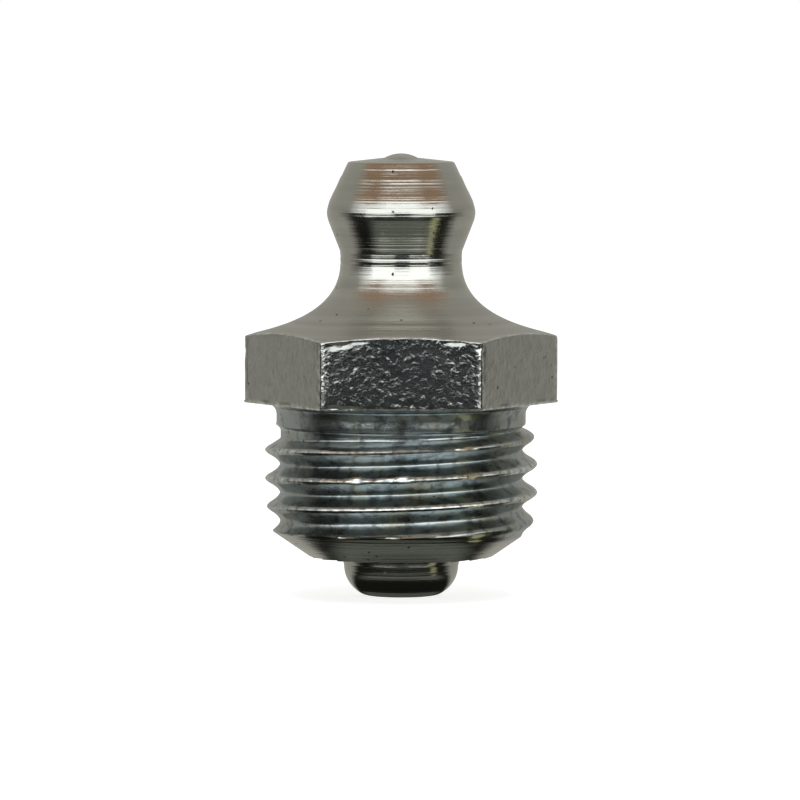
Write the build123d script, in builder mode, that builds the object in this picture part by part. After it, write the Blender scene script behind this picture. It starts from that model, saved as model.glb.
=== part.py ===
from build123d import *

import os
from math import atan, ceil, cos, degrees, pi, radians, sin, sqrt, tan

# A straight grease nipple: a body turned from hexagon bar, with a rolled M12 x 1.25 thread, and a
# spring-loaded ball check valve inside it. Grease pushed in at the head lifts the ball off its
# cone and leaves through the tail. All sizes are in millimetres. The origin is on the axis at the
# seat, the hexagon's underside. +Z runs out of the head, and a flat of the hexagon faces -Y.

# ---------------------------------------------------------------- driving dimensions

# hexagon, and the flare that runs from its corners up to the neck
hex_across_flats = 12.0
hex_corner_radius = 0.1
hex_corner_height = 2.93  # from the seat to the top of a corner
flare_height = 3.24  # from a corner's top to the neck
flare_angle = 13.3  # slope where the flare meets the corners
flare_upper_pull = 2.21  # how far the curve holds the neck's direction
flare_lower_pull = 1.7  # how far the curve holds the slope at the corners

# head, the part that a grease coupler grips
head_diameter = 6.5  # over its widest line
head_overhang = 0.58  # how far the widest line stands out from the neck
head_back_angle = 21.3  # half angle of the cone under it, where the coupler's jaws hold
head_top_angle = 25.0  # half angle of the cone above it
head_top_length = 2.23  # from the widest line to the crown's edge
head_waist_radius = 1.12  # rounding of the widest line
head_rim_radius = 0.15  # rounding of the crown's edge
crown_angle = 6.4  # the crown is a shallow cone that rises to the inlet
neck_length = 0.47  # straight length between the flare and the head
neck_radius = 0.95  # fillet under the head

# thread, rolled on the shank
thread_crest_diameter = 11.97  # a nominal 12 mm thread at its usual tolerance
thread_depth = 0.69
thread_pitch = 1.25
thread_flank_angle = 60.0  # between the two flanks
thread_crest_width = 0.17
thread_end_depth = 6.66  # from the seat to the thread's end face
thread_phase_depth = 2.69  # a crest crosses the XZ plane at +X this far under the seat
shank_height = 0.18  # the plain shank's radius over the thread's root
shank_length = 0.75  # plain shank left under the seat
seat_fillet = 0.5
run_out_depth = 1.72  # from here up to the shank the thread sinks as it winds
run_out_slope = 0.5  # radius that it sinks by for a height of one
lead_end_diameter = 8.3  # where the lead chamfer meets the end face
lead_slope = 0.686  # depth of the lead chamfer for a radius of one

# check valve
ball_diameter = 3.0
ball_clearance = 0.15  # all round, in the bore
inlet_diameter = 1.74
inlet_lip = 0.04  # straight length of the inlet above the valve's cone
valve_angle = 100.0  # included angle of the cone that the ball shuts against
valve_clearance = 0.02
spring_wire_diameter = 0.38
spring_active_turns = 7
spring_closed_turns = 1  # wound tight at each end
spring_opening_turn = 0.5  # share of a turn over which the coil opens or closes
spring_bore_clearance = 0.2  # all round, in the bore
spring_clearance = 0.02  # between closed turns, and from each end to what it presses on

# tail, a collar whose end is rolled in under the spring
tail_wall = 0.93  # at the thread's end face
tail_taper = 0.08  # radius lost down to the roll
tail_collar_length = 0.69  # from the thread's end face to the roll
tail_roll_length = 1.12  # from there to the very end
tail_lip_thickness = 0.4
tail_foot_width = 0.4  # flat ring at the very end
outlet_diameter = 2.1
outlet_edge_radius = 0.1
bore_corner_radius = 0.25
roll_side_pull = 0.6  # how far the roll holds the collar's direction
roll_end_pull = 0.4  # how far the roll holds the foot's direction

# allowances of the blanks and cutters that are cut away again, and of the ridge under its root
bar_allowance = 1.0
cut_allowance = 0.35
ridge_allowance = 0.1

# ---------------------------------------------------------------- sizes that follow

hex_corner = hex_across_flats / 2 / cos(pi / 6)
flare_top_height = hex_corner_height + flare_height
head_radius = head_diameter / 2
neck = head_radius - head_overhang
neck_top_height = flare_top_height + neck_length

# the head's two cones are tangent to the rounding of its widest line and would meet at its knee
back_slope = tan(radians(head_back_angle))
top_slope = tan(radians(head_top_angle))
waist_centre = head_radius - head_waist_radius
back_reach = waist_centre + head_waist_radius / cos(radians(head_back_angle))
top_reach = waist_centre + head_waist_radius / cos(radians(head_top_angle))
head_widest_height = neck_top_height + (back_reach - neck) / back_slope
knee_offset = (top_reach - back_reach) / (top_slope + back_slope)
knee = top_reach - knee_offset * top_slope
knee_height = head_widest_height + knee_offset
head_top = top_reach - head_top_length * top_slope
head_top_height = head_widest_height + head_top_length
crown_slope = tan(radians(crown_angle))
crown_peak_height = head_top_height + head_top * crown_slope

# the ball shuts a hair off the cone, which runs out into the inlet just under the crown
inlet = inlet_diameter / 2
ball_radius = ball_diameter / 2
bore = ball_radius + ball_clearance
valve_slope = tan(radians(valve_angle / 2))
valve_reach = (ball_radius + valve_clearance) / sin(radians(valve_angle / 2))
inlet_height = crown_peak_height - inlet * crown_slope
valve_top_height = inlet_height - inlet_lip
valve_apex_height = valve_top_height + inlet / valve_slope
valve_foot_height = valve_apex_height - bore / valve_slope
ball_height = valve_apex_height - valve_reach

# the tail's collar follows the bore
outlet = outlet_diameter / 2
tail = bore + tail_wall
tail_roll = tail - tail_taper
tail_foot = outlet + tail_foot_width
tail_roll_depth = thread_end_depth + tail_collar_length
tail_end_depth = tail_roll_depth + tail_roll_length
tail_floor_height = tail_lip_thickness - tail_end_depth

# the spring stands on the tail's lip and presses up on the ball
wire = spring_wire_diameter / 2
coil = bore - spring_bore_clearance - wire
coil_foot_height = tail_floor_height + spring_clearance + wire
ball_contact_reach = ball_radius + wire + spring_clearance
coil_top_height = ball_height - sqrt(ball_contact_reach**2 - coil**2)
coil_turns = spring_active_turns + 2 * spring_closed_turns
closed_pitch = spring_wire_diameter + spring_clearance

# the thread is a ridge that stands on its root
crest = thread_crest_diameter / 2
root = crest - thread_depth
shank = root + shank_height
shank_end_depth = shank_length + shank_height / run_out_slope
flank_slope = tan(radians(thread_flank_angle / 2))
ridge_foot = root - ridge_allowance
ridge_inside = ridge_foot - ridge_allowance
ridge_half_crest = thread_crest_width / 2
ridge_half_foot = ridge_half_crest + (crest - ridge_foot) * flank_slope
ridge_points = [
    (ridge_inside, -ridge_half_foot),
    (ridge_foot, -ridge_half_foot),
    (crest, -ridge_half_crest),
    (crest, ridge_half_crest),
    (ridge_foot, ridge_half_foot),
    (ridge_inside, ridge_half_foot),
]

# the ridge begins past the lead chamfer, a whole number of turns under the crest at its phase
lead_end = lead_end_diameter / 2
lead_inside_depth = thread_end_depth - (ridge_inside - lead_end) * lead_slope
turns_under = ceil((lead_inside_depth + ridge_half_foot - thread_phase_depth) / thread_pitch)
ridge_start_height = -thread_phase_depth - turns_under * thread_pitch
ridge_height = -run_out_depth - ridge_start_height
run_out_height = (crest - ridge_foot) / run_out_slope
run_out_angle = 360 * ridge_height / thread_pitch

# ---------------------------------------------------------------- thread ridge


def axial_plane(height, angle):
    # through the axis, with its x outward at the angle and its y up
    outward = (cos(radians(angle)), sin(radians(angle)), 0)
    backward = (sin(radians(angle)), -cos(radians(angle)), 0)
    return Plane(origin=(0, 0, height), x_dir=outward, z_dir=backward)


with BuildPart() as thread_ridge:
    with BuildLine() as ridge_path:
        Helix(
            pitch=thread_pitch,
            height=ridge_height,
            radius=root,
            center=(0, 0, ridge_start_height),
        )
    with BuildSketch(axial_plane(ridge_start_height, 0)):
        with BuildLine():
            Polyline(*ridge_points, close=True)
        make_face()
    sweep(path=ridge_path.line, is_frenet=True)

# the same ridge goes on round a cone, and sinks into the plain shank
with BuildPart() as thread_run_out:
    with BuildLine() as run_out_path:
        run_out_helix = Helix(
            pitch=thread_pitch,
            height=run_out_height,
            radius=root,
            center=(0, 0, -run_out_depth),
            cone_angle=-degrees(atan(run_out_slope)),
            mode=Mode.PRIVATE,
        )
        add(run_out_helix.rotate(Axis.Z, run_out_angle))
    with BuildSketch(axial_plane(-run_out_depth, run_out_angle)):
        with BuildLine():
            Polyline(*ridge_points, close=True)
        make_face()
    sweep(path=run_out_path.line, is_frenet=True)

# ---------------------------------------------------------------- nipple body

with BuildPart() as nipple_body:
    with BuildSketch(Plane.XY.offset(-tail_end_depth - bar_allowance)):
        RegularPolygon(radius=hex_corner, side_count=6)
        fillet(vertices(), radius=hex_corner_radius)
    extrude(amount=crown_peak_height + tail_end_depth + 2 * bar_allowance)

    # the bar is turned to this outline, and keeps its flats where the outline is wider
    with BuildSketch(Plane.XZ):
        with BuildLine():
            FilletPolyline(
                (0, crown_peak_height),
                (head_top, head_top_height),
                (knee, knee_height),
                (neck, neck_top_height),
                (neck, flare_top_height),
                radius=(head_rim_radius, head_waist_radius, neck_radius),
            )
            flare = Bezier(
                (neck, flare_top_height),
                (neck, flare_top_height - flare_upper_pull),
                (
                    hex_corner - flare_lower_pull * cos(radians(flare_angle)),
                    hex_corner_height + flare_lower_pull * sin(radians(flare_angle)),
                ),
                (hex_corner, hex_corner_height),
            )
            outside = flare @ 1 + flare % 1 * cut_allowance
            Polyline(flare @ 1, outside, (outside.X, 0), (shank + seat_fillet, 0))
            seat_corner = JernArc(
                start=(shank + seat_fillet, 0),
                tangent=(-1, 0),
                radius=seat_fillet,
                arc_size=90,
            )
            collar = Polyline(
                seat_corner @ 1,
                (shank, -shank_length),
                (root, -shank_end_depth),
                (root, -thread_end_depth),
                (tail, -thread_end_depth),
                (tail_roll, -tail_roll_depth),
            )
            Bezier(
                collar @ 1,
                collar @ 1 + collar % 1 * roll_side_pull,
                (tail_foot + roll_end_pull, -tail_end_depth),
                (tail_foot, -tail_end_depth),
            )
            Polyline(
                (tail_foot, -tail_end_depth),
                (0, -tail_end_depth),
                (0, crown_peak_height),
            )
        make_face()
    revolve(axis=Axis.Z, mode=Mode.INTERSECT)

    add(thread_ridge.part)
    add(thread_run_out.part)

    # lead chamfer at the thread's end, cut by a cone that runs past both of its edges
    cutter_inside = lead_end - cut_allowance
    cutter_outside = crest + cut_allowance
    cutter_rise = (cutter_outside - lead_end) * lead_slope
    cutter_foot_height = ridge_start_height - thread_pitch
    with BuildSketch(Plane.XZ):
        with BuildLine():
            Polyline(
                (cutter_inside, -thread_end_depth - cut_allowance * lead_slope),
                (cutter_outside, -thread_end_depth + cutter_rise),
                (cutter_outside, cutter_foot_height),
                (cutter_inside, cutter_foot_height),
                close=True,
            )
        make_face()
    revolve(axis=Axis.Z, mode=Mode.SUBTRACT)

    # outlet, bore, the cone that the ball shuts against, and inlet
    with BuildSketch(Plane.XZ):
        with BuildLine():
            bore_side = FilletPolyline(
                (0, -tail_end_depth - cut_allowance),
                (outlet, -tail_end_depth - cut_allowance),
                (outlet, tail_floor_height),
                (bore, tail_floor_height),
                (bore, valve_foot_height),
                (inlet, valve_top_height),
                (inlet, inlet_height + cut_allowance),
                (0, inlet_height + cut_allowance),
                radius=(0, 0, bore_corner_radius, 0, 0, 0),
            )
            Line(bore_side @ 1, bore_side @ 0)
        make_face()
    revolve(axis=Axis.Z, mode=Mode.SUBTRACT)
    foot_face = nipple_body.faces().sort_by(Axis.Z)[0]
    fillet(foot_face.edges().sort_by(SortBy.LENGTH)[0], radius=outlet_edge_radius)

# ---------------------------------------------------------------- check ball

with BuildPart() as check_ball:
    with Locations((0, 0, ball_height)):
        Sphere(radius=ball_radius)

# ---------------------------------------------------------------- spring

# The coil opens smoothly from its closed end turns to its active ones. Each step's opening runs
# from 0 to 1, and the active turns take what height the closed pitch leaves.
points_per_turn = 9
coil_openings = []
for step in range(coil_turns * points_per_turn):
    turn = (step + 0.5) / points_per_turn
    turns_past_closed = min(turn, coil_turns - turn) - spring_closed_turns
    share = turns_past_closed / spring_opening_turn + 0.5
    share = min(max(share, 0), 1)
    coil_openings.append(share * share * (3 - 2 * share))
spare_height = coil_top_height - coil_foot_height - coil_turns * closed_pitch
open_step = spare_height / sum(coil_openings)

coil_points = [(coil, 0, coil_foot_height)]
for step, opening in enumerate(coil_openings, start=1):
    angle = 2 * pi * step / points_per_turn
    point_height = coil_points[-1][2] + closed_pitch / points_per_turn + opening * open_step
    coil_points.append((coil * cos(angle), coil * sin(angle), point_height))

with BuildPart() as spring:
    with BuildLine() as coil_path:
        coil_line = Spline(*coil_points)
    with BuildSketch(Plane(origin=coil_line @ 0, z_dir=coil_line % 0)):
        Circle(wire)
    sweep(path=coil_path.line, is_frenet=True)

# ---------------------------------------------------------------- files

os.makedirs("parts", exist_ok=True)

nipple_body.part.label = "nipple_body"
export_step(nipple_body.part, "parts/nipple_body.step")

check_ball.part.label = "check_ball"
export_step(check_ball.part, "parts/check_ball.step")

spring.part.label = "spring"
export_step(spring.part, "parts/spring.step")
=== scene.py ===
from contextlib import contextmanager
from math import atan2, ceil, cos, exp, pi, radians, sin, sqrt, tan
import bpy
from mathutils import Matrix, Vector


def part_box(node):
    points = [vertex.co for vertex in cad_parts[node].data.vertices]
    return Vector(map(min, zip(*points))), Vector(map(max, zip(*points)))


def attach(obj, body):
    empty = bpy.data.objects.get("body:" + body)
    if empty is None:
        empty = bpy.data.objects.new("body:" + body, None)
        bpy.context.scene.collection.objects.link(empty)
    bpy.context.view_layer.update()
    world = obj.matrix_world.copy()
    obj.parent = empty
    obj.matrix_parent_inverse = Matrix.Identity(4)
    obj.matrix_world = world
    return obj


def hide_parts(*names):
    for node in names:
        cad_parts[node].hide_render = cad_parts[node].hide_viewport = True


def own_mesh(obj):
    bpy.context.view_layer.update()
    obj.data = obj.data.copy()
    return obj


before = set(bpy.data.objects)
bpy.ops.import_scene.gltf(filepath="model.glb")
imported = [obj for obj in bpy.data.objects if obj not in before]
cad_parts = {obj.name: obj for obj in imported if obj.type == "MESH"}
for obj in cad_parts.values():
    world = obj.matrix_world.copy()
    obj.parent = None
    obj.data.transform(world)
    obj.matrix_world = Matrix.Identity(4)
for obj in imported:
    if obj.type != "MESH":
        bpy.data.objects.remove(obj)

from types import SimpleNamespace

import bpy
import numpy as np
from bpy.props import FloatProperty, FloatVectorProperty, IntProperty, PointerProperty
from bpy.types import Operator, Panel, PropertyGroup
from mathutils import Vector, noise

bl_info = {
    "name": "Grease Nipple",
    "version": (1, 0, 0),
    "blender": (4, 5, 0),
    "location": "3D View > Sidebar > Grease Nipple",
    "description": "Dresses a straight grease nipple: turned body, rolled thread, ball, spring and stage",
    "category": "Object",
}

MM = 0.001
MICRON = 0.000001
FULL_TURN = 2 * pi

# points and steps that the turned body, the thread and the spring are made with
BODY_STEPS = 240
THREAD_STEPS = 192
THREAD_POINTS = 24
COIL_STEPS = 56
WIRE_POINTS = 16

# how strongly the body's columns crowd towards the hexagon's corners
CROWDING = 0.72

# the thread's ridge joins the shank between the first two heights and is hidden over the third
JOIN_LOW = -0.95 * MM
JOIN_HIGH = -0.86 * MM
JOIN_END = -0.80 * MM

# rings in millimetres: height over the widest line, or depth under the end face, half width, rise
CONE_RINGS = (
    (1.85, 0.12, 0.014), (1.62, 0.07, 0.009), (1.46, 0.20, 0.021), (1.15, 0.12, 0.011),
    (0.92, 0.15, 0.016), (0.72, 0.20, 0.021), (0.54, 0.12, 0.013), (0.0, 0.16, 0.009),
)
TAIL_RINGS = ((0.12, 0.045, 0.009), (0.38, 0.045, 0.009))

# knocks in millimetres: across and height of the middle, half width, half height and depth
FRONT_KNOCKS = (
    (-2.95, 2.80, 0.22, 0.10, 0.10),
    (-2.50, 2.86, 0.20, 0.08, 0.12),
    (-1.90, 2.97, 0.16, 0.06, 0.06),
    (2.35, 2.95, 0.22, 0.06, 0.07),
    (-2.90, 0.12, 0.25, 0.10, 0.09),
    (-2.30, 0.06, 0.28, 0.08, 0.08),
    (-5.55, 0.95, 0.16, 0.12, 0.05),
    (-6.45, 0.25, 0.30, 0.16, 0.07),
    (-6.60, 2.80, 0.20, 0.10, 0.06),
    (5.10, 2.05, 0.07, 0.07, 0.04),
)
CREST_KNOCKS = (
    (-1.95, -2.95, 0.24, 0.24, 0.15),
    (-0.55, -2.90, 0.34, 0.18, 0.08),
    (0.10, -2.88, 0.26, 0.22, 0.14),
    (0.95, -2.80, 0.30, 0.16, 0.05),
    (2.90, -1.60, 0.30, 0.14, 0.04),
    (-2.40, -4.20, 0.20, 0.14, 0.04),
)

# turns from the lens for the ends of a card that has no soft ends
HARD_ENDS = (181, 182)


# ---- settings


def length(description, millimetres):
    return FloatProperty(
        description=description, default=millimetres * MM, unit="LENGTH", subtype="DISTANCE", precision=5
    )


def angle(description, degrees):
    return FloatProperty(description=description, default=radians(degrees), unit="ROTATION", subtype="ANGLE")


def count(description, number):
    return IntProperty(description=description, default=number, min=1)


def factor(description, share):
    return FloatProperty(description=description, default=share, subtype="FACTOR")


def plain(description, number):
    return FloatProperty(description=description, default=number)


def colour(description, *tint):
    return FloatVectorProperty(description=description, default=tint, size=3, min=0, max=1, subtype="COLOR")


def labelled(group):
    """Gives each property of a group the label that its own name spells."""
    for name, item in group.__annotations__.items():
        item.keywords["name"] = name.replace("_", " ").capitalize()
    return group


@labelled
class HexagonSizes(PropertyGroup):
    across_flats: length("Width of the hexagon over two flats", 12.0)
    corner_radius: length("Rounding of the six upright corners", 0.1)
    corner_height: length("From the seat to the top of a corner", 2.93)
    flare_height: length("From the top of a corner to the neck", 3.24)
    flare_angle: angle("Slope where the flare meets the corners", 13.3)
    upper_pull: length("How far the flare holds the neck's direction", 2.21)
    lower_pull: length("How far the flare holds the slope at the corners", 1.7)
    blank_allowance: length("How far the turned blank stands over the corners", 0.07)
    edge_softness: length("Rounding that plating and handling leave on the edges", 0.1)
    flat_waviness: length("Height of the slow waves on the drawn flats", 0.01)
    nick_depth: length("Deepest nick in a worn edge", 0.06)
    roll_over: length("How far the flats fall away at the upright corners", 0.05)
    roll_over_width: length("How wide that is", 0.30)


@labelled
class HeadSizes(PropertyGroup):
    diameter: length("Over the widest line", 6.5)
    overhang: length("How far the widest line stands out from the neck", 0.58)
    back_angle: angle("Half angle of the cone under the widest line", 21.3)
    top_angle: angle("Half angle of the cone above the widest line", 25.0)
    top_length: length("From the widest line to the crown's edge", 2.23)
    waist_radius: length("Rounding of the widest line", 1.12)
    rim_radius: length("Rounding of the crown's edge", 0.15)
    crown_angle: angle("Rise of the crown towards the inlet", 6.4)
    neck_length: length("Straight length between the flare and the head", 0.47)
    neck_radius: length("Fillet under the head", 0.95)
    groove_depth: length("Tool marks at both ends of the neck", 0.012)
    groove_width: length("Half width of these marks", 0.05)


@labelled
class ThreadSizes(PropertyGroup):
    crest_diameter: length("Over the thread's crests", 11.97)
    depth: length("From crest to root", 0.69)
    pitch: length("From crest to crest", 1.25)
    flank_angle: angle("Between the two flanks", 60.0)
    crest_width: length("Flat of the crest before it is rounded", 0.17)
    crest_rounding: length("How much the rolled crest is rounded", 0.2)
    root_rounding: length("How much the rolled root is rounded", 0.42)
    end_depth: length("From the seat to the thread's end face", 6.66)
    phase_depth: length("A crest crosses +X this far under the seat", 2.69)
    shank_height: length("Radius of the plain shank over the root", 0.18)
    shank_length: length("Plain shank left under the seat", 0.75)
    seat_fillet: length("Fillet between seat and shank", 0.5)
    run_out_depth: length("From here up the thread sinks into the shank", 1.72)
    run_out_slope: factor("Radius that it sinks by for a height of one", 0.5)
    lead_diameter: length("Where the lead chamfer meets the end face", 8.3)
    lead_slope: factor("Depth of the lead chamfer for a radius of one", 0.686)
    knock_tilt: factor("Radius that a knocked crest loses for a height of one", 0.14)
    dent_depth: length("Deepest dent in a crest", 0.09)
    crest_fade: length("Crest height lost near the end of the thread", 0.17)
    fade_start: length("Depth at which the crests start to fade", 3.9)
    fade_end: length("Depth at which they have faded", 5.3)


@labelled
class ValveSizes(PropertyGroup):
    ball_diameter: length("Check ball", 3.0)
    ball_clearance: length("Between ball and bore, all round", 0.15)
    inlet_diameter: length("Hole in the crown", 1.74)
    inlet_lip: length("Straight length of the inlet above the cone", 0.04)
    valve_angle: angle("Included angle of the cone that the ball shuts against", 100.0)
    valve_clearance: length("Between ball and cone", 0.02)
    seat_ring_depth: length("Ring that the cone presses in the ball", 0.006)
    seat_ring_width: length("Half width of that ring", 0.07)
    wire_diameter: length("Spring wire", 0.38)
    bore_clearance: length("Between spring and bore, all round", 0.2)
    spring_clearance: length("Between closed turns and at the ends", 0.02)
    active_turns: count("Open turns of the spring", 7)
    closed_turns: count("Turns wound tight at each end", 1)


@labelled
class TailSizes(PropertyGroup):
    wall: length("Collar wall at the thread's end face", 0.93)
    taper: length("Radius lost down to the roll", 0.08)
    collar_length: length("From the thread's end face to the roll", 0.69)
    roll_length: length("From the start of the roll to the very end", 1.12)
    lip_thickness: length("Rolled lip that carries the spring", 0.4)
    foot_width: length("Flat ring at the very end", 0.4)
    outlet_diameter: length("Hole in the rolled end", 2.1)
    outlet_radius: length("Rounding of the outlet's edge", 0.1)
    bore_radius: length("Fillet where the bore meets the lip", 0.25)
    side_pull: length("How far the roll holds the collar's direction", 0.6)
    end_pull: length("How far the roll holds the foot's direction", 0.4)


@labelled
class FinishSettings(PropertyGroup):
    zinc: colour("Clear zinc plating", 0.50, 0.495, 0.46)
    zinc_dark: colour("Plating in hollows and stains", 0.26, 0.26, 0.25)
    zinc_blue: colour("Bluish tint of the rolled thread", 0.36, 0.40, 0.41)
    zinc_olive: colour("Yellowish tint of thick passivation", 0.33, 0.31, 0.22)
    drawn: colour("Zinc on the drawn flats", 0.385, 0.39, 0.37)
    bare: colour("Rubbed edges and crests", 0.74, 0.75, 0.75)
    oxide: colour("Black specks in pits", 0.02, 0.02, 0.022)
    ball: colour("Polished hardened steel", 0.62, 0.61, 0.59)
    spring: colour("Drawn spring wire", 0.30, 0.29, 0.28)


@labelled
class StageSettings(PropertyGroup):
    focal_length: plain("Lens in millimetres", 283.4)
    distance: length("From the lens to the nipple's axis", 276.0)
    lens_height: length("Of the lens over the seat", 18.0)
    floor_glow: factor("White that the floor adds for the lens and for reflections", 0.8)
    sky: factor("Light that the world gives to matt surfaces", 0.3)
    lamp_power: plain("Power of the overhead lamp in watts", 0.5)
    card_distance: length("From the nipple to the front cards", 120.0)
    panel: colour("White panels beside and over the lens", 0.96, 1.0, 1.0)
    panel_strength: plain("How bright they are", 2.2)
    tent: colour("Grey tent round the nipple", 0.45, 0.445, 0.40)
    roof: colour("Warm card over the panels", 0.40, 0.262, 0.165)
    shade: colour("Dark cards", 0.012, 0.012, 0.01)
    lens: colour("What stands round the lens", 0.045, 0.055, 0.065)
    table: colour("Grey card on the floor", 0.175, 0.19, 0.165)
    # painted shadow: colour of the dark ring under the tail that stands in for the shadow there in
    # reflections
    foot: colour("Card under the tail", 0.11, 0.115, 0.1)
    olive: colour("Narrow card on the floor", 0.55, 0.55, 0.33)


# ---- outline helpers


def straight(start, end, steps):
    """Points from after start up to and with end, as (radius, height) pairs."""
    return [tuple(a + (b - a) * step / steps for a, b in zip(start, end)) for step in range(1, steps + 1)]


def run_on(outline, steps, *points):
    """Runs an outline on, straight to the first of the points and then through the others."""
    outline += straight(outline[-1], points[0], steps) + list(points[1:])


def on_circle(centre, radius, facing):
    return centre[0] + radius * cos(facing), centre[1] + radius * sin(facing)


def turn_corner(corner, facing_in, facing_out, radius, steps):
    """Rounds a corner between two straight stretches that face the given angles over level.
    A radius above 0 rounds an outer corner, one below 0 fills an inner corner."""
    n1 = (cos(facing_in), sin(facing_in))
    n2 = (cos(facing_out), sin(facing_out))
    cross = n1[0] * n2[1] - n1[1] * n2[0]
    centre = (corner[0] - radius * (n2[1] - n1[1]) / cross, corner[1] - radius * (n1[0] - n2[0]) / cross)
    facings = (facing_in + (facing_out - facing_in) * step / steps for step in range(steps + 1))
    return [on_circle(centre, radius, facing) for facing in facings]


def swept_curve(start, pull, push, end, begin, finish, steps):
    """Points of a Bezier curve after its share begin, up to and with its share finish."""
    points = []
    for step in range(1, steps + 1):
        t = begin + (finish - begin) * step / steps
        weights = ((1 - t) ** 3, 3 * (1 - t) ** 2 * t, 3 * (1 - t) * t**2, t**3)
        pulls = list(zip(weights, (start, pull, push, end)))
        points.append(tuple(sum(weight * point[axis] for weight, point in pulls) for axis in (0, 1)))
    return points


def ring_mark(outline, height, width, rise, least_radius):
    """Raises or sinks a narrow ring in the outside of an outline."""
    limit = 0.98 * least_radius
    return [(r + rise * exp(-(((z - height) / width) ** 2)) * (r > limit), z) for r, z in outline]


def soft_min(a, b, softness):
    overlap = np.maximum(softness - np.abs(a - b), 0) / softness
    return np.minimum(a, b) - overlap**2 * softness / 4


def soft_max(a, b, softness):
    return -soft_min(-a, -b, softness)


def ease(low, high, value):
    share = np.clip((value - low) / (high - low), 0, 1)
    return share * share * (3 - 2 * share)


def bell(offset):
    return np.exp(-(offset**2))


def rounded_off(radius, inside):
    """How far a rounding draws a face in, at a distance inside its edge."""
    return radius - np.sqrt(radius**2 - (radius - inside) ** 2)


# ---- mesh helpers


def deselect_all():
    bpy.ops.object.select_all(action="DESELECT")


def make_active(piece):
    deselect_all()
    piece.select_set(True)
    bpy.context.view_layer.objects.active = piece


@contextmanager
def editing(piece):
    """Edit mode on a piece, with its whole mesh selected."""
    make_active(piece)
    bpy.ops.object.mode_set(mode="EDIT")
    bpy.ops.mesh.select_all(action="SELECT")
    yield
    bpy.ops.object.mode_set(mode="OBJECT")


def extrude_outline(name, outline):
    """A chain of edges in the XZ plane, extruded from one vertex along (radius, height) points."""
    deselect_all()
    bpy.ops.mesh.primitive_plane_add(size=MM)
    chain = bpy.context.object
    chain.name = chain.data.name = name
    with editing(chain):
        bpy.ops.mesh.merge(type="CENTER")
        bpy.ops.transform.translate(value=(outline[0][0], 0, outline[0][1]))
        for here, there in zip(outline, outline[1:]):
            step = (there[0] - here[0], 0, there[1] - here[1])
            bpy.ops.mesh.extrude_region_move(TRANSFORM_OT_translate={"value": step})
    return chain


def spin(piece, steps, sweep):
    """Spins an outline round the nipple's axis."""
    with editing(piece):
        bpy.ops.mesh.spin(steps=steps, angle=sweep, center=(0, 0, 0), axis=(0, 0, 1))


def screw_up(piece, rise, turns, steps):
    """Screws an outline up the nipple's axis, with the given rise for each turn."""
    screw = piece.modifiers.new("Screw", "SCREW")
    screw.axis = "Z"
    screw.angle = FULL_TURN
    screw.screw_offset = rise
    screw.iterations = turns
    screw.steps = screw.render_steps = steps
    bpy.ops.object.modifier_apply(modifier=screw.name)


def close_seams(piece):
    with editing(piece):
        bpy.ops.mesh.remove_doubles(threshold=MICRON)
        bpy.ops.mesh.normals_make_consistent(inside=False)


def points_of(piece):
    flat = np.zeros(len(piece.data.vertices) * 3)
    piece.data.vertices.foreach_get("co", flat)
    return flat.reshape(-1, 3)


def set_points(piece, points):
    piece.data.vertices.foreach_set("co", points.astype(np.float32).ravel())
    piece.data.update()


def set_mask(piece, name, values):
    mask = piece.data.attributes.new(name, "FLOAT", "POINT")
    mask.data.foreach_set("value", np.asarray(values, np.float32))


def noise_at(points, size, shift=0.0):
    """Smooth noise between -1 and 1, with features of the given size."""
    offset = Vector((shift, shift * 0.7, -shift))
    return np.array([noise.noise(Vector(point) / size + offset) for point in points])


def to_polar(points):
    return np.arctan2(points[:, 1], points[:, 0]), np.hypot(points[:, 0], points[:, 1]), points[:, 2].copy()


def from_polar(angles, radii, heights):
    return np.column_stack((radii * np.cos(angles), radii * np.sin(angles), heights))


def knock_share(points, knock, sharpness):
    """How much of a knock reaches each point in front of the axis: 1 in its middle."""
    x, height, reach_x, reach_z = (value * MM for value in knock[:4])
    off = ((points[:, 0] - x) / reach_x) ** 2 + ((points[:, 2] - height) / reach_z) ** 2
    return np.where(points[:, 1] < 0, np.exp(-(off**sharpness)), 0)


# ---- turned body


def valve_heights(head, hexagon, valve):
    """Heights that the crown, the inlet, the valve's cone and the ball share."""
    head_radius = head.diameter / 2
    neck = head_radius - head.overhang
    flare_top = hexagon.corner_height + hexagon.flare_height
    neck_top = flare_top + head.neck_length
    centre = head_radius - head.waist_radius
    back_reach = centre + head.waist_radius / cos(head.back_angle)
    top_reach = centre + head.waist_radius / cos(head.top_angle)
    widest = neck_top + (back_reach - neck) / tan(head.back_angle)
    top = top_reach - head.top_length * tan(head.top_angle)
    top_height = widest + head.top_length
    peak = top_height + top * tan(head.crown_angle)
    inlet = valve.inlet_diameter / 2
    inlet_height = peak - inlet * tan(head.crown_angle)
    valve_slope = tan(valve.valve_angle / 2)
    valve_top = inlet_height - valve.inlet_lip
    apex = valve_top + inlet / valve_slope
    bore = valve.ball_diameter / 2 + valve.ball_clearance
    reach = (valve.ball_diameter / 2 + valve.valve_clearance) / sin(valve.valve_angle / 2)
    return SimpleNamespace(
        neck=neck, flare_top=flare_top, neck_top=neck_top, waist_centre=centre, widest=widest, top=top,
        top_height=top_height, inlet=inlet, inlet_height=inlet_height, valve_top=valve_top,
        valve_foot=apex - bore / valve_slope, bore=bore, ball=apex - reach,
    )


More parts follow.
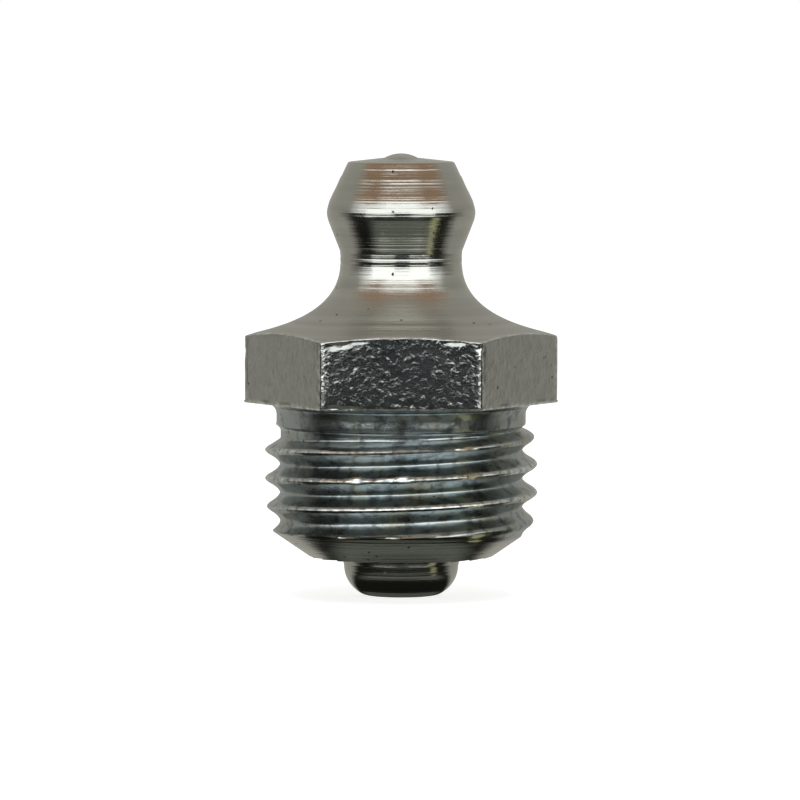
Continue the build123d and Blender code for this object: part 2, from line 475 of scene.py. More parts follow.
def turned_outline(settings):
    """The closed outline of the turned body, bore included, with the hexagon still round."""
    hexagon, head, thread = settings.hexagon, settings.head, settings.thread
    valve, tail = settings.valve, settings.tail
    sizes = valve_heights(head, hexagon, valve)
    bore, neck = sizes.bore, sizes.neck
    up, level, down = radians(90), 0.0, radians(-90)
    crown_facing = up - head.crown_angle
    corner = hexagon.across_flats / 2 / cos(pi / 6)
    blank = corner + hexagon.blank_allowance
    shank = thread.crest_diameter / 2 - thread.depth + thread.shank_height
    edge = 0.03 * MM

    # bore, inlet and crown
    outline = [(bore, 0), (bore, sizes.valve_foot)]
    run_on(outline, 2, (sizes.inlet, sizes.valve_top))
    outline += turn_corner((sizes.inlet, sizes.inlet_height), pi, crown_facing, edge, 2)
    top = (sizes.top, sizes.top_height)
    run_on(outline, 7, *turn_corner(top, crown_facing, head.top_angle, head.rim_radius, 7))

    # cones, waist and neck
    centre = (sizes.waist_centre, sizes.widest)
    facings = np.linspace(head.top_angle, -head.back_angle, 17)
    run_on(outline, 44, *(on_circle(centre, head.waist_radius, facing) for facing in facings))
    neck_top = (neck, sizes.neck_top)
    run_on(outline, 5, *turn_corner(neck_top, -head.back_angle, level, -head.neck_radius, 6))
    run_on(outline, 14, (neck, sizes.flare_top))

    # flare, with the tool marks and rings above it
    pull = hexagon.lower_pull
    flare = (
        (neck, sizes.flare_top),
        (neck, sizes.flare_top - hexagon.upper_pull),
        (corner - pull * cos(hexagon.flare_angle), hexagon.corner_height + pull * sin(hexagon.flare_angle)),
        (corner, hexagon.corner_height),
    )
    outline += swept_curve(*flare, 0, 0.2, 14)
    outline += swept_curve(*flare, 0.2, 0.84, 26)
    for height, share in (
        (sizes.neck_top + 0.02 * MM, 1),
        (sizes.flare_top - 0.02 * MM, 1.5),
        (sizes.flare_top + 0.24 * MM, 0.6),
    ):
        outline = ring_mark(outline, height, head.groove_width, -share * head.groove_depth, neck)
    for height, width, rise in CONE_RINGS:
        outline = ring_mark(outline, sizes.widest + height * MM, width * MM, rise * MM, neck)
    outline += swept_curve(*flare, 0.84, 1, 34)

    # hexagon's blank, seat and shank
    side_top = hexagon.corner_height - hexagon.blank_allowance * tan(hexagon.flare_angle)
    run_on(outline, 2, (blank, side_top))
    run_on(outline, 32, (blank, 0.12 * MM))
    run_on(outline, 6, (blank, 0))
    run_on(outline, 8, (blank - 0.2 * MM, 0))
    run_on(outline, 8, *turn_corner((shank, 0), down, level, -thread.seat_fillet, 8))
    run_on(outline, 3, (shank, JOIN_HIGH))

    # under the rolled thread the turned blank is sunk, and comes out again at the end face
    end_face = -thread.end_depth
    lead = thread.lead_diameter / 2
    sunk = lead + 0.7 * MM
    outline += [(shank - 0.015 * MM, JOIN_LOW), (sunk, -1.4 * MM), (sunk, end_face + 1.2 * MM)]
    outline += [(lead - 0.4 * MM, end_face + 0.4 * MM), (lead - 0.015 * MM, end_face + 0.02 * MM)]
    outline += [(lead - 0.03 * MM, end_face)]

    # collar and rolled foot
    collar = bore + tail.wall
    facing = -atan2(tail.taper, tail.collar_length)
    run_on(outline, 6, *turn_corner((collar, end_face), down, facing, -0.1 * MM, 4))
    roll_top = (collar - tail.taper, end_face - tail.collar_length)
    run_on(outline, 20, roll_top)
    for depth, width, rise in TAIL_RINGS:
        outline = ring_mark(outline, end_face - depth * MM, width * MM, rise * MM, lead / 2)
    outlet = tail.outlet_diameter / 2
    foot = outlet + tail.foot_width
    end = end_face - tail.collar_length - tail.roll_length
    side_pull = (roll_top[0] + tail.side_pull * sin(facing), roll_top[1] - tail.side_pull * cos(facing))
    outline += swept_curve(roll_top, side_pull, (foot + tail.end_pull, end), (foot, end), 0, 1, 20)

    # outlet, lip and bore
    floor = end + tail.lip_thickness
    run_on(outline, 3, *turn_corner((outlet, end), down, -pi, tail.outlet_radius, 4))
    outline += turn_corner((outlet, floor), -pi, -1.5 * pi, edge, 2)
    outline += turn_corner((bore, floor), -1.5 * pi, -pi, -tail.bore_radius, 5)
    run_on(outline, 3, outline[0])
    return outline


def hexagon_reach(angles, hexagon):
    """Radius of the hexagon's rounded outline at each angle. A flat faces -Y."""
    apothem = hexagon.across_flats / 2
    radius = hexagon.corner_radius
    from_corner = np.abs((angles + pi / 6) % (pi / 3) - pi / 6)
    flat = apothem / np.cos(pi / 6 - from_corner)
    centre = (apothem - radius) / cos(pi / 6)
    beside = np.clip(centre * np.sin(from_corner), 0, radius)
    rounded = centre * np.cos(from_corner) + np.sqrt(radius**2 - beside**2)
    tangent = atan2(radius * sin(pi / 6), centre + radius * cos(pi / 6))
    return np.where(from_corner < tangent, rounded, flat), from_corner


def mill_flats(turned, settings):
    """Moves the round blank in to the six flats, softens their edges and nicks them."""
    hexagon, thread = settings.hexagon, settings.thread
    points = points_of(turned)
    angles, radii, heights = to_polar(points)
    angles = angles - CROWDING * np.sin(6 * angles) / 6
    reach, from_corner = hexagon_reach(angles, hexagon)
    soft = hexagon.edge_softness
    corner = hexagon.across_flats / 2 / cos(pi / 6)
    blank = corner + hexagon.blank_allowance
    seat = thread.crest_diameter / 2 - thread.depth + thread.shank_height + thread.seat_fillet

    bar = (heights > -MICRON) & (heights < hexagon.corner_height + 0.6 * MM)
    under = bar & (heights < MICRON) & (radii > seat)
    side = bar & ~under & (radii > seat)
    beyond = radii - reach
    milled = radii.copy()
    milled[side] = soft_min(radii, reach, soft)[side]
    share = (radii - seat) / (blank - seat)
    milled[under] = (seat + share * (reach - seat))[under]
    low = side & (heights < soft)
    milled[low] -= rounded_off(soft, heights[low])
    heights[under] += rounded_off(soft, np.clip(reach - milled, 0, soft)[under])

    # how near each point is to an edge, for the nicks and for the rubbed plating
    edge_width = 0.13 * MM
    on_flat = side & (beyond > -soft)
    arc = bell(beyond / edge_width) * (points[:, 2] > hexagon.corner_height - 0.1 * MM)
    corners = bell(from_corner * corner / (1.6 * edge_width)) * (beyond > -2 * soft)
    foot = bell(points[:, 2] / edge_width) * (reach - milled < 2 * soft)
    wear = np.where(bar, np.clip(np.maximum(np.maximum(arc, corners), foot), 0, 1), 0)

    moved = from_polar(angles, milled, heights)
    near = np.flatnonzero(bar & (radii > seat))
    skin = moved[near]
    chips = noise_at(skin, 0.42 * MM) + 0.6 * noise_at(skin, 0.17 * MM, 3.1)
    waves = noise_at(skin, 1.7 * MM, 7.3)
    rare = ease(-0.1, 0.45, noise_at(skin, 1.1 * MM, 11.9))
    inward = wear[near] * np.clip(chips - 0.05, 0, 1) * rare * hexagon.nick_depth
    inward += np.where(on_flat[near], waves * hexagon.flat_waviness, 0)
    beside = from_corner[near] * corner / hexagon.roll_over_width
    inward += np.where(side[near], np.exp(-beside) * hexagon.roll_over, 0)
    for knock in FRONT_KNOCKS:
        inward += knock_share(skin, knock, 1) * knock[4] * MM
    outward = skin * (1, 1, 0)
    outward /= np.linalg.norm(outward, axis=1)[:, None]
    moved[near] -= outward * inward[:, None]

    set_points(turned, moved)
    set_mask(turned, "wear", wear)
    set_mask(turned, "milled", np.where(side, ease(-0.5 * soft, 0.5 * soft, beyond), 0))
    set_mask(turned, "rolled", (heights < -0.1 * MM) & (heights > 0.1 * MM - thread.end_depth))


def rolled_profile(thread):
    """One pitch of the rolled thread as (radius, height) points, root to root round a crest."""
    crest = thread.crest_diameter / 2
    flank_slope = tan(thread.flank_angle / 2)
    along = np.linspace(-thread.pitch / 2, thread.pitch / 2, THREAD_POINTS + 1)
    rise = thread.depth - (np.abs(along) - thread.crest_width / 2) / flank_slope
    rise = soft_min(rise, np.full_like(rise, thread.depth), thread.crest_rounding)
    rise = soft_max(rise, np.zeros_like(rise), thread.root_rounding)
    crest_loss = thread.depth - rise.max()
    return [(crest - thread.depth + h + crest_loss, z) for h, z in zip(rise, along)]


def rolled_thread(settings):
    """The thread: one rolled pitch screwed round the axis, trimmed, and run out at both ends."""
    thread = settings.thread
    crest = thread.crest_diameter / 2
    root = crest - thread.depth
    shank = root + thread.shank_height
    lead = thread.lead_diameter / 2
    trim_low = -thread.end_depth + 0.01 * MM
    trim_high = -thread.shank_length
    turns_under = ceil((-thread.phase_depth - trim_low) / thread.pitch + 1.5)
    turns = ceil((trim_high - trim_low) / thread.pitch) + 2
    start = -thread.phase_depth - turns_under * thread.pitch
    profile = [(radius, height + start) for radius, height in rolled_profile(thread)]

    ridge = extrude_outline("rolled_thread", profile)
    screw_up(ridge, thread.pitch, turns, THREAD_STEPS)
    close_seams(ridge)
    for height, side in ((trim_low, "clear_inner"), (trim_high, "clear_outer")):
        with editing(ridge):
            bpy.ops.mesh.bisect(plane_co=(0, 0, height), plane_no=(0, 0, 1), **{side: True})

    points = points_of(ridge)
    angles, radii, heights = to_polar(points)
    on_crest = ease(crest - 0.28 * MM, crest - 0.04 * MM, radii)
    dents = noise_at(points, 0.55 * MM, 5.0) + 0.5 * noise_at(points, 0.22 * MM, 9.0)
    dented = ease(0.15, 0.5, noise_at(points, 2.3 * MM, 17.0))
    radii = radii - on_crest * dented * np.clip(dents, 0, 1) * thread.dent_depth

    # a knock strikes a tilted flat in a crest
    struck = np.zeros(len(points))
    for knock in CREST_KNOCKS:
        share = knock_share(points, knock, 2)
        land = crest - knock[4] * MM - thread.knock_tilt * (heights - knock[1] * MM)
        cut = np.maximum(radii - land, 0) * share
        radii -= cut
        struck = np.maximum(struck, np.where(cut > 0, share, 0))

    # the crests fade, run out into the shank, and are cut by the lead chamfer's cone
    fade = thread.crest_fade / thread.depth * ease(-thread.fade_start, -thread.fade_end, heights)
    radii = root + (radii - root) * (1 - fade)
    sunk = radii - thread.run_out_slope * np.maximum(heights + thread.run_out_depth, 0)
    plain_shank = shank - thread.run_out_slope * np.maximum(-thread.shank_length - heights, 0)
    radii = soft_max(sunk, np.maximum(plain_shank, root), 0.06 * MM)
    joined = ease(JOIN_LOW, JOIN_HIGH, heights)
    radii = radii * (1 - joined) + shank * joined
    radii -= 0.02 * MM * ease(JOIN_HIGH, JOIN_END, heights)
    cone = lead + (heights + thread.end_depth) / thread.lead_slope
    rolled = ease(0.02 * MM, 0.2 * MM, cone - radii)
    radii = soft_min(radii, cone, 0.08 * MM)
    set_points(ridge, from_polar(angles, radii, heights))
    under_run_out = 1 - ease(-thread.run_out_depth, -1.0 * MM, heights)
    rubbed = ease(crest - 0.13 * MM, crest - 0.03 * MM, radii) * rolled * under_run_out
    set_mask(ridge, "wear", np.maximum(rubbed, 0.9 * struck))
    set_mask(ridge, "milled", np.zeros(len(points)))
    set_mask(ridge, "rolled", rolled * (1 - ease(-1.25 * MM, JOIN_LOW, heights)))

    # both open ends are drawn in under the turned blank and closed there
    for height, rise, radius, inset in (
        (trim_low, 0.25 * MM, lead, 0.5 * MM),
        (trim_high, -0.25 * MM, shank, 0.6 * MM),
    ):
        with editing(ridge):
            bpy.ops.mesh.select_all(action="DESELECT")
        for vertex in ridge.data.vertices:
            vertex.select = abs(vertex.co.z - height) < MICRON
        bpy.ops.object.mode_set(mode="EDIT")
        bpy.ops.mesh.select_mode(type="VERT")
        bpy.ops.mesh.extrude_region_move(TRANSFORM_OT_translate={"value": (0, 0, rise)})
        scale = (radius - inset) / radius
        bpy.ops.transform.resize(value=(scale, scale, 1))
        bpy.ops.mesh.edge_face_add()
        bpy.ops.object.mode_set(mode="OBJECT")
    close_seams(ridge)
    return ridge


# ---- ball and spring


def mark_ball(ball, centre, settings):
    """Presses in the fine ring that the ball's seat leaves."""
    valve = settings.valve
    points = points_of(ball)
    from_centre = points - np.array((0, 0, centre))
    radii = np.linalg.norm(from_centre, axis=1)
    rise = np.arcsin(from_centre[:, 2] / radii)
    off_ring = (rise - (radians(90) - valve.valve_angle / 2)) * radii / valve.seat_ring_width
    inward = valve.seat_ring_depth * bell(off_ring)
    set_points(ball, points - from_centre / radii[:, None] * inward[:, None])


def coil_spring(settings):
    """A wire ring screwed up the bore, its turns then set to the spring's own heights."""
    valve, tail, thread = settings.valve, settings.tail, settings.thread
    wire = valve.wire_diameter / 2
    ball = valve.ball_diameter / 2
    coil = ball + valve.ball_clearance - valve.bore_clearance - wire
    foot = -thread.end_depth - tail.collar_length - tail.roll_length + tail.lip_thickness
    low = foot + valve.spring_clearance + wire
    centre = valve_heights(settings.head, settings.hexagon, valve).ball
    high = centre - sqrt((ball + wire + valve.spring_clearance) ** 2 - coil**2)
    turns = valve.active_turns + 2 * valve.closed_turns
    closed_pitch = valve.wire_diameter + valve.spring_clearance

    deselect_all()
    bpy.ops.mesh.primitive_circle_add(
        vertices=WIRE_POINTS, radius=wire, location=(coil, 0, 0), rotation=(radians(90), 0, 0)
    )
    spring = bpy.context.object
    spring.name = spring.data.name = "coil_spring"
    bpy.ops.object.transform_apply(location=True, rotation=True)
    screw_up(spring, MM, turns, COIL_STEPS)

    points = points_of(spring)
    share = np.arctan2(points[:, 1], points[:, 0]) / FULL_TURN
    turn = np.round(points[:, 2] / MM - share) + share
    stations = np.linspace(0, turns, 600)
    past_closed = np.minimum(stations, turns - stations) - valve.closed_turns
    opening = np.cumsum(ease(-0.25, 0.25, past_closed))
    spare = high - low - turns * closed_pitch
    heights = low + closed_pitch * stations + spare * opening / opening[-1]
    points[:, 2] += np.interp(turn, stations, heights) - turn * MM
    set_points(spring, points)
    with editing(spring):
        bpy.ops.mesh.fill_holes(sides=0)
    close_seams(spring)
    bpy.ops.object.shade_smooth_by_angle(angle=radians(50))
    return spring


# ---- shader helpers


def new_material(name):
    material = bpy.data.materials.new(name)
    material.use_nodes = True
    material.node_tree.nodes.clear()
    return material, material.node_tree


def plug(tree, node, socket, value):
    """Sets a socket, or links it and moves its node right of the other one."""
    target = node.inputs[socket]
    if isinstance(value, bpy.types.NodeSocket):
        tree.links.new(value, target)
        node.location.x = max(node.location.x, value.node.location.x + 200)
    else:
        target.default_value = (*value, 1.0) if target.type == "RGBA" else value


def place_node(tree, kind, *values):
    """A node whose first sockets the values set or link to."""
    node = tree.nodes.new("ShaderNode" + kind)
    node.location.y = -150 * (len(tree.nodes) % 12)
    for index, value in enumerate(values):
        plug(tree, node, index, value)
    return node


def add_node(tree, kind, **values):
    """A node with each value set or linked by its name. A colour has no alpha."""
    node = place_node(tree, kind)
    for name, value in values.items():
        socket = name.replace("_", " ").title()
        if socket in node.inputs:
            plug(tree, node, socket, value)
        else:
            setattr(node, name, value)
    return node


def calculate(tree, operation, *values, clamp=False):
    node = place_node(tree, "Math", *values)
    node.operation = operation
    node.use_clamp = clamp
    return node.outputs[0]


def multiply(tree, product, *factors):
    for item in factors:
        product = calculate(tree, "MULTIPLY", product, item)
    return product


def remap(tree, value, low, high, to_low=0.0, to_high=1.0):
    return place_node(tree, "MapRange", value, low, high, to_low, to_high).outputs[0]


def mix_colours(tree, share, first, second):
    node = place_node(tree, "Mix", share)
    node.data_type = "RGBA"
    plug(tree, node, 6, first)
    plug(tree, node, 7, second)
    return node.outputs[2]


def blotches(tree, where, scale, detail, roughness=0.5):
    values = {"vector": where, "scale": scale, "detail": detail, "roughness": roughness}
    return add_node(tree, "TexNoise", **values).outputs["Fac"]


def object_place(tree):
    return place_node(tree, "TexCoord").outputs["Object"]


def new_group(name, inputs, outputs):
    """A shader node group: its number inputs as (name, default), its outputs by name."""
    group = bpy.data.node_groups.new(name, "ShaderNodeTree")
    for label, default in inputs:
        socket = group.interface.new_socket(label, in_out="INPUT", socket_type="NodeSocketFloat")
        socket.default_value = default
    for label in outputs:
        group.interface.new_socket(label, in_out="OUTPUT", socket_type="NodeSocketFloat")
    return group, group.nodes.new("NodeGroupInput").outputs, group.nodes.new("NodeGroupOutput")


def place_group(tree, build, **values):
    """Places the node group that build makes, which all materials share."""
    name = build.__name__.replace("_", " ").capitalize()
    node = place_node(tree, "Group")
    node.node_tree = bpy.data.node_groups.get(name) or build(name)
    for label, value in values.items():
        plug(tree, node, label.replace("_", " ").capitalize(), value)
    return node.outputs


def turning_marks(name):
    """Fine rings that a turning tool leaves: grooves that follow radius and height."""
    group, given, put = new_group(name, [("Ring width", 0.1 * MM), ("Wobble", 0.3)], ["Height", "Streaks"])
    where = object_place(group)
    x, y, z = place_node(group, "SeparateXYZ", where).outputs
    squares = [multiply(group, axis, axis) for axis in (x, y)]
    radius = calculate(group, "SQRT", calculate(group, "ADD", *squares))
    wobble = multiply(group, blotches(group, where, 700.0, 2.0), given["Wobble"])
    out = calculate(group, "DIVIDE", radius, given["Ring width"])
    up = calculate(group, "DIVIDE", z, given["Ring width"])
    rings = place_node(group, "CombineXYZ", out, up, wobble).outputs[0]
    plug(group, put, "Height", blotches(group, rings, 1.0, 3.0, 0.6))
    plug(group, put, "Streaks", blotches(group, rings, 0.22, 2.0))
    return group


def plating_stains(name):
    """Cloudy tint of the passivation, small pits and black specks."""
    sizes = [("Cloud size", 1.2 * MM), ("Speck size", 0.35 * MM)]
    group, given, put = new_group(name, sizes, ["Clouds", "Pits", "Specks"])
    where = object_place(group)
    cloud_scale = calculate(group, "DIVIDE", 1.0, given["Cloud size"])
    speck_scale = calculate(group, "DIVIDE", 1.0, given["Speck size"])
    ragged = blotches(group, where, 12000.0, 3.0)
    cells = add_node(group, "TexVoronoi", vector=where, scale=speck_scale).outputs
    edge = calculate(group, "MULTIPLY_ADD", ragged, 0.5, cells["Distance"])
    near = remap(group, edge, 0.36, 0.46, 1.0, 0.0)
    lot = place_node(group, "SeparateColor", cells["Color"]).outputs[0]
    rare = remap(group, lot, 0.93, 0.95)
    plug(group, put, "Clouds", blotches(group, where, cloud_scale, 4.0))
    plug(group, put, "Pits", blotches(group, where, speck_scale, 3.0))
    plug(group, put, "Specks", multiply(group, near, rare))
    return group


def finish_metal(tree, base, rough, strength, depth, height):
    """Ends a metal's node tree: its relief, its shader and the output."""
    relief = add_node(tree, "Bump", strength=strength, distance=depth, height=height).outputs[0]
    values = {"base_color": base, "roughness": rough, "normal": relief, "metallic": 1.0}
    shader = add_node(tree, "BsdfPrincipled", **values)
    place_node(tree, "OutputMaterial", shader.outputs[0])


def zinc_material(settings):
    """Clear zinc on the whole body: turned rings, mottled flats and a burnished rolled thread."""
    finish = settings.finish
    material, tree = new_material("zinc_plated_body")
    turning = place_group(tree, turning_marks, Ring_width=0.15 * MM)
    stains = place_group(tree, plating_stains)
    pitting = place_group(tree, plating_stains, Cloud_size=0.52 * MM, Speck_size=0.27 * MM)
    masks = (add_node(tree, "Attribute", attribute_name=name) for name in ("milled", "rolled", "wear"))
    milled, rolled, wear = (mask.outputs["Fac"] for mask in masks)

    # colour: plating by the way that each part is made, then dirt, rubbed edges and a patchy dark band
    # beside the flats' edges
    streaks = remap(tree, turning["Streaks"], 0.35, 0.7, 0.0, 0.4)
    turned_tint = mix_colours(tree, streaks, finish.zinc, finish.zinc_dark)
    dark_pits = remap(tree, pitting["Clouds"], 0.35, 0.6, 0.35, 0.0)
    milled_tint = mix_colours(tree, dark_pits, finish.drawn, finish.zinc_dark)
    olive = remap(tree, stains["Clouds"], 0.5, 0.72, 0.0, 0.7)
    rolled_tint = mix_colours(tree, olive, finish.zinc_blue, finish.zinc_olive)
    base = mix_colours(tree, milled, turned_tint, milled_tint)
    base = mix_colours(tree, rolled, base, rolled_tint)
    dirt = multiply(tree, remap(tree, pitting["Clouds"], 0.52, 0.66, 0.0, 0.6), rolled)
    dirt = calculate(tree, "MAXIMUM", dirt, stains["Specks"])
    base = mix_colours(tree, dirt, base, finish.oxide)
    rubbed = multiply(tree, wear, remap(tree, pitting["Pits"], 0.36, 0.62))
    base = mix_colours(tree, rubbed, base, finish.bare)
    # a patchy dark band on the flats just beside their edges, off the rubbed edge itself
    beside_edge = remap(tree, wear, 0.02, 0.12)
    off_edge = remap(tree, wear, 0.3, 0.6, 1.0, 0.0)
    patches = remap(tree, stains["Clouds"], 0.45, 0.62, 0.0, 0.5)
    edge_band = multiply(tree, beside_edge, off_edge, patches, milled)
    base = mix_colours(tree, edge_band, base, finish.oxide)

    # roughness: the foot of the flare and the thread are duller than the rest
    formed = calculate(tree, "ADD", milled, rolled)
    turned = calculate(tree, "SUBTRACT", 1.0, formed, clamp=True)
    height = place_node(tree, "SeparateXYZ", object_place(tree)).outputs["Z"]
    on_flare = remap(tree, height, 5.2 * MM, 4.2 * MM)
    over_seat = remap(tree, height, 2.4 * MM, 2.9 * MM)
    matt = multiply(tree, on_flare, over_seat, turned)
    matt = calculate(tree, "MAXIMUM", matt, multiply(tree, rolled, 0.4))
    clean = remap(tree, stains["Clouds"], 0.3, 0.7, 0.14, 0.2)
    rough = calculate(tree, "MULTIPLY_ADD", matt, 0.2, clean)

    # relief: turning rings, grain, lumps on the flats and bitten specks
    rings = calculate(tree, "MULTIPLY_ADD", turning["Streaks"], 3.0, turning["Height"])
    rings = multiply(tree, rings, turned)
    grain_depth = calculate(tree, "MULTIPLY_ADD", rolled, 0.35, 0.22)
    grain = multiply(tree, pitting["Pits"], grain_depth)
    lumps = remap(tree, pitting["Pits"], 0.5, 0.75)
    knobs = remap(tree, stains["Pits"], 0.5, 0.7)
    lumps = calculate(tree, "ADD", lumps, knobs)
    lumps = multiply(tree, lumps, multiply(tree, milled, 0.4))
    relief = calculate(tree, "ADD", rings, grain)
    relief = calculate(tree, "ADD", relief, lumps)
    bitten = multiply(tree, stains["Specks"], 0.5)
    relief = calculate(tree, "SUBTRACT", relief, bitten)
    finish_metal(tree, base, rough, 1.0, 20 * MICRON, relief)
    return material


def steel_material(name, tint, rough_low, rough_high, settings):
    """Bare steel with faint drawing or lapping marks."""
    material, tree = new_material(name)
    stains = place_group(tree, plating_stains, Cloud_size=0.6 * MM, Speck_size=0.18 * MM)
    marks = place_group(tree, turning_marks, Ring_width=0.04 * MM)
    dark = remap(tree, stains["Clouds"], 0.35, 0.7, 0.0, 0.4)
    base = mix_colours(tree, dark, tint, settings.finish.zinc_dark)
    rough = remap(tree, stains["Pits"], 0.3, 0.7, rough_low, rough_high)
    finish_metal(tree, base, rough, 0.12, 8 * MICRON, marks["Height"])
    return material


# ---- stage helpers


def seen_directly(tree):
    """1 for rays from the lens and for what metal and glass show, 0 for matt surfaces."""
    path = place_node(tree, "LightPath").outputs
    seen = calculate(tree, "MAXIMUM", path["Is Camera Ray"], path["Is Glossy Ray"])
    return calculate(tree, "MAXIMUM", seen, path["Is Transmission Ray"])


def card_material(name, tint, soft):
    """Plain light that thins out between two turns from the lens, in degrees."""
    material, tree = new_material(name)
    x, y, _ = place_node(tree, "SeparateXYZ", object_place(tree)).outputs
    turn = calculate(tree, "ARCTAN2", x, multiply(tree, y, -1.0))
    turn = calculate(tree, "ABSOLUTE", turn)
    thin = remap(tree, turn, radians(soft[0]), radians(soft[1]))
    glow = add_node(tree, "Emission", color=tint).outputs[0]
    clear = place_node(tree, "BsdfTransparent").outputs[0]
    light = place_node(tree, "MixShader", thin, glow, clear).outputs[0]
    place_node(tree, "OutputMaterial", light)
    return material


def add_card(name, outline, turns, soft, tint):
    """A card bent round the nipple: an outline spun between two turns from the lens.
    Only reflections show it."""
    card = extrude_outline(name, outline)
    spin(card, 48, radians(turns[1] - turns[0]))
    card.rotation_euler.z = radians(turns[1] - 90)
    bpy.ops.object.transform_apply(location=False, rotation=True, scale=False)
    card.data.materials.append(card_material(name, tint, soft))
    card.visible_camera = card.visible_diffuse = card.visible_shadow = False


def upright(reach, low, high):
    """Outline of a card that bends over the nipple between two heights, in degrees over level."""
    return [on_circle((0, 0), reach, rise) for rise in np.linspace(radians(low), radians(high), 13)]


def add_aimed(name, data, place, target):
    item = bpy.data.objects.new(name, data)
    bpy.context.scene.collection.objects.link(item)
    item.location = place
    item.rotation_euler = (target - item.location).to_track_quat("-Z", "Y").to_euler()
    return item


# ---- operators


class NIPPLE_OT_body(Operator):
    """Turns the body, mills the hexagon and rolls the thread"""

    bl_idname = "nipple.body"
    bl_label = "Nipple Body"

    def execute(self, context):
        settings = context.scene.nipple
        turned = extrude_outline("plated_body", turned_outline(settings))
        spin(turned, BODY_STEPS, FULL_TURN)
        close_seams(turned)
        mill_flats(turned, settings)
        ridge = rolled_thread(settings)
        make_active(turned)
        ridge.select_set(True)
        bpy.ops.object.join()
        bpy.ops.object.shade_smooth_by_angle(angle=radians(40))
        turned.data.materials.clear()
        turned.data.materials.append(zinc_material(settings))
        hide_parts("nipple_body")
        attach(turned, "body")
        return {"FINISHED"}


class NIPPLE_OT_ball(Operator):
    """Makes the polished check ball"""

    bl_idname = "nipple.ball"
    bl_label = "Check Ball"

    def execute(self, context):
        settings = context.scene.nipple
        centre = valve_heights(settings.head, settings.hexagon, settings.valve).ball
        radius = settings.valve.ball_diameter / 2
        place = (0, 0, centre)
        deselect_all()
        bpy.ops.mesh.primitive_uv_sphere_add(segments=96, ring_count=64, radius=radius, location=place)
        ball = context.object
        ball.name = ball.data.name = "polished_ball"
        bpy.ops.object.transform_apply(location=True)
        mark_ball(ball, centre, settings)
        bpy.ops.object.shade_smooth()
        steel = steel_material("ball_steel", settings.finish.ball, 0.12, 0.2, settings)
        ball.data.materials.append(steel)
        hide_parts("check_ball")
        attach(ball, "ball")
        return {"FINISHED"}


class NIPPLE_OT_spring(Operator):
    """Coils the compression spring with closed ends"""

    bl_idname = "nipple.spring"
    bl_label = "Spring"

    def execute(self, context):
        settings = context.scene.nipple
        spring = coil_spring(settings)
        steel = steel_material("spring_steel", settings.finish.spring, 0.25, 0.4, settings)
        spring.data.materials.append(steel)
        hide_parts("spring")
        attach(spring, "body")
        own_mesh(spring)
        return {"FINISHED"}


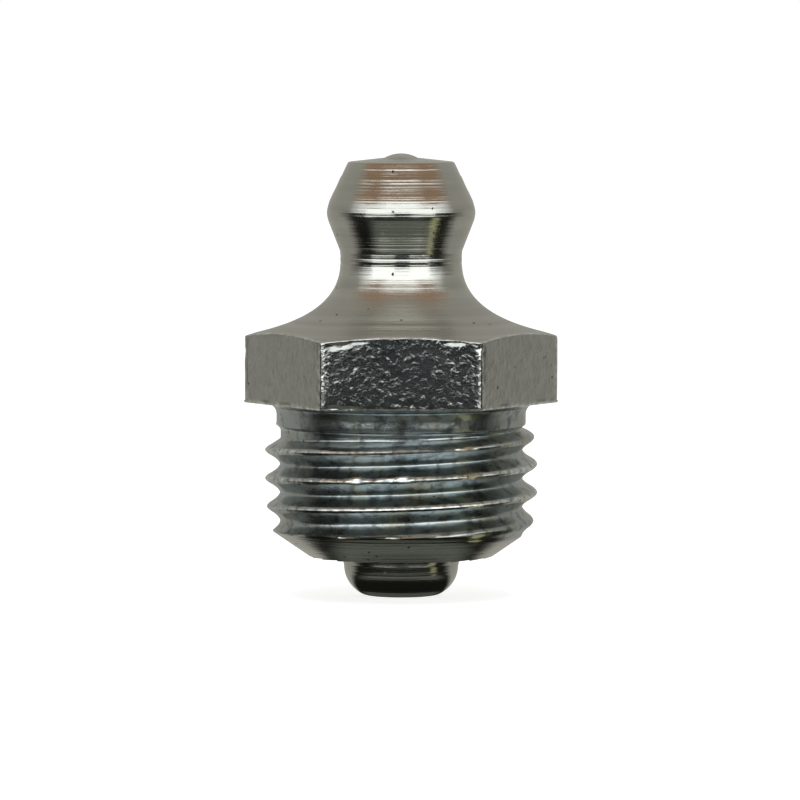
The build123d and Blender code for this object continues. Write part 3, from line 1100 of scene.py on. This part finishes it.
class NIPPLE_OT_stage(Operator):
    """Sets out the floor, the light cards, the lamp and the camera"""

    bl_idname = "nipple.stage"
    bl_label = "Stage"

    def execute(self, context):
        stage = context.scene.nipple.stage
        scene = context.scene
        scene.view_settings.view_transform = "Standard"

        lens = bpy.data.cameras.new("camera")
        lens.lens = stage.focal_length
        lens.sensor_width = 36.0
        lens.clip_start = 0.01
        lens.clip_end = 10.0
        place = (-0.05 * MM, -stage.distance, stage.lens_height)
        scene.camera = add_aimed("camera", lens, place, Vector((-0.05 * MM, 0, 0.108 * MM)))

        world = bpy.data.worlds.new("studio")
        world.use_nodes = True
        scene.world = world
        tree = world.node_tree
        tree.nodes.clear()
        strength = remap(tree, seen_directly(tree), 0.0, 1.0, stage.sky, 1.0)
        place_node(tree, "OutputWorld", place_node(tree, "Background", (1, 1, 1), strength).outputs[0])

        floor_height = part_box("nipple_body")[0].z
        deselect_all()
        bpy.ops.mesh.primitive_plane_add(size=4, location=(0, 0, floor_height - 0.01 * MM))
        floor = context.object
        floor.name = "floor"
        material, tree = new_material("studio_floor")
        glow = multiply(tree, seen_directly(tree), stage.floor_glow)
        values = {"roughness": 1.0, "emission_color": (1, 1, 1), "emission_strength": glow}
        shader = add_node(tree, "BsdfPrincipled", base_color=(0.85, 0.85, 0.85), **values)
        plug(tree, shader, "Specular IOR Level", 0)
        place_node(tree, "OutputMaterial", shader.outputs[0])
        floor.data.materials.append(material)

        def on_floor(lift, inner, outer):
            return [(reach * MM, floor_height + lift * MM) for reach in (inner, outer)]

        white = [part * stage.panel_strength for part in stage.panel]
        reach = stage.card_distance
        for card in (
            ("tent", upright(2.5 * reach, -2, 90), (-180, 180), HARD_ENDS, stage.tent),
            ("front_panel", upright(reach, 1.2, 35.5), (-90, 90), (52, 90), white),
            ("top_panel", upright(reach, 35.5, 44.5), (-48, 48), (22, 48), white),
            ("warm_roof", upright(1.02 * reach, 37, 72), (-112, 112), (86, 112), stage.roof),
            ("lens_shade", upright(0.9 * reach, -6, 9), (-12, 15), HARD_ENDS, stage.lens),
            ("left_gap", upright(0.95 * reach, -5, 9), (-118, -56), (80, 115), stage.shade),
            ("right_gap", upright(0.95 * reach, -5, 9), (54, 124), (80, 120), stage.shade),
            ("table", on_floor(0.01, 0.0, 290.0), (-180, 180), HARD_ENDS, stage.tent),
            ("dark_table", on_floor(0.02, 1.6, 118.0), (-102, 102), (82, 102), stage.shade),
            ("near_mat", on_floor(0.03, 3.35, 4.4), (-80, 80), (50, 80), stage.table),
            ("green_mat", on_floor(0.03, 9.0, 34.0), (-58, 60), (42, 60), stage.table),
            # painted shadow: a dark ring on the floor under the tail, which only reflections show, stands in
            # for the shadow there
            ("tail_shadow_card", on_floor(0.04, 1.3, 1.95), (-80, 80), (50, 80), stage.foot),
            ("olive_strip", on_floor(0.04, 5.2, 60.0), (51, 62), HARD_ENDS, stage.olive),
        ):
            add_card(*card)

        data = bpy.data.lights.new("top_lamp", "AREA")
        data.size = 0.3
        data.energy = stage.lamp_power
        add_aimed("top_lamp", data, (0, -0.1, 0.4), Vector()).visible_glossy = False
        return {"FINISHED"}


# ---- panel and registration


class NippleSettings(PropertyGroup):
    hexagon: PointerProperty(type=HexagonSizes)
    head: PointerProperty(type=HeadSizes)
    thread: PointerProperty(type=ThreadSizes)
    valve: PointerProperty(type=ValveSizes)
    tail: PointerProperty(type=TailSizes)
    finish: PointerProperty(type=FinishSettings)
    stage: PointerProperty(type=StageSettings)


class NIPPLE_PT_panel(Panel):
    bl_idname = "NIPPLE_PT_panel"
    bl_label = "Grease Nipple"
    bl_space_type = "VIEW_3D"
    bl_region_type = "UI"
    bl_category = "Grease Nipple"

    def draw(self, context):
        for operator in OPERATORS:
            self.layout.operator(operator.bl_idname)


OPERATORS = (NIPPLE_OT_body, NIPPLE_OT_ball, NIPPLE_OT_spring, NIPPLE_OT_stage)
GROUPS = (HexagonSizes, HeadSizes, ThreadSizes, ValveSizes, TailSizes, FinishSettings, StageSettings)
CLASSES = (*GROUPS, NippleSettings, *OPERATORS, NIPPLE_PT_panel)


def register():
    for item in CLASSES:
        bpy.utils.register_class(item)
    bpy.types.Scene.nipple = PointerProperty(type=NippleSettings)


def unregister():
    del bpy.types.Scene.nipple
    for item in reversed(CLASSES):
        bpy.utils.unregister_class(item)


def main():
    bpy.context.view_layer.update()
    register()
    bpy.ops.nipple.body()
    bpy.ops.nipple.ball()
    bpy.ops.nipple.spring()
    bpy.ops.nipple.stage()


if __name__ == "__main__":
    main()
